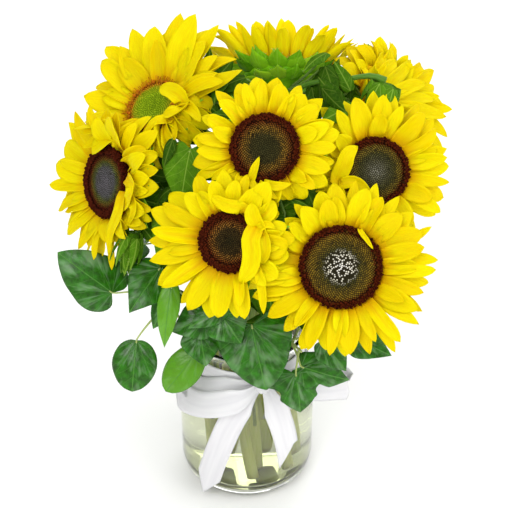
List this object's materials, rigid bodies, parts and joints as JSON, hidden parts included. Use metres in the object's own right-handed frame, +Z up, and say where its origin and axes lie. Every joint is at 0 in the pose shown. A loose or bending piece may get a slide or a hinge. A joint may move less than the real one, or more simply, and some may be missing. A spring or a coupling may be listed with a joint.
{
  "type": "sunflowers in a vase",
  "caption": "Bouquet of cut sunflowers and ivy sprays in a round glass jar of water, its neck tied with a white satin bow; stands on a table as decoration.",
  "frame": {"origin": "middle of the flat underside of the jar's foot, on the surface that it stands on", "axes": "+Z up the jar's axis; -Y towards the front, where the bow is; +X to the right as seen from the front"},
  "size_m": [0.365, 0.3099, 0.468],
  "materials": {
    "glass": "clear pressed glass",
    "water": "still water, faintly green from the stems",
    "satin": "white polyester satin, soft sheen",
    "petals": "fresh sunflower ray petals, satin, with fine lengthwise ribs",
    "disc_florets": "matt packed disc florets, dark brown to olive",
    "sunflower_green": "matt green stems, bracts and leaves with fine hairs",
    "ivy": "waxy dark green ivy leaves with pale veins"
  },
  "bodies": {
    "root": {"glass_jar": "glass", "water": "water", "satin_ribbon": "satin", "low_right_stem": "sunflower_green", "low_right_disc": "disc_florets", "low_right_petals": "petals", "centre_stem": "sunflower_green", "centre_disc": "disc_florets", "centre_petals": "petals", "low_left_stem": "sunflower_green", "low_left_disc": "disc_florets", "low_left_petals": "petals", "right_stem": "sunflower_green", "right_disc": "disc_florets", "right_petals": "petals", "top_left_stem": "sunflower_green", "top_left_disc": "disc_florets", "top_left_petals": "petals", "left_stem": "sunflower_green", "left_disc": "disc_florets", "left_petals": "petals", "top_right_stem": "sunflower_green", "top_right_disc": "disc_florets", "top_right_petals": "petals", "top_back_stem": "sunflower_green", "top_back_disc": "disc_florets", "top_back_petals": "petals", "ivy_back_left": "ivy", "ivy_back_right": "ivy", "ivy_front": "ivy", "ivy_front_left": "ivy", "ivy_front_right": "ivy", "ivy_left": "ivy", "ivy_right": "ivy"}
  },
  "joints": []
}
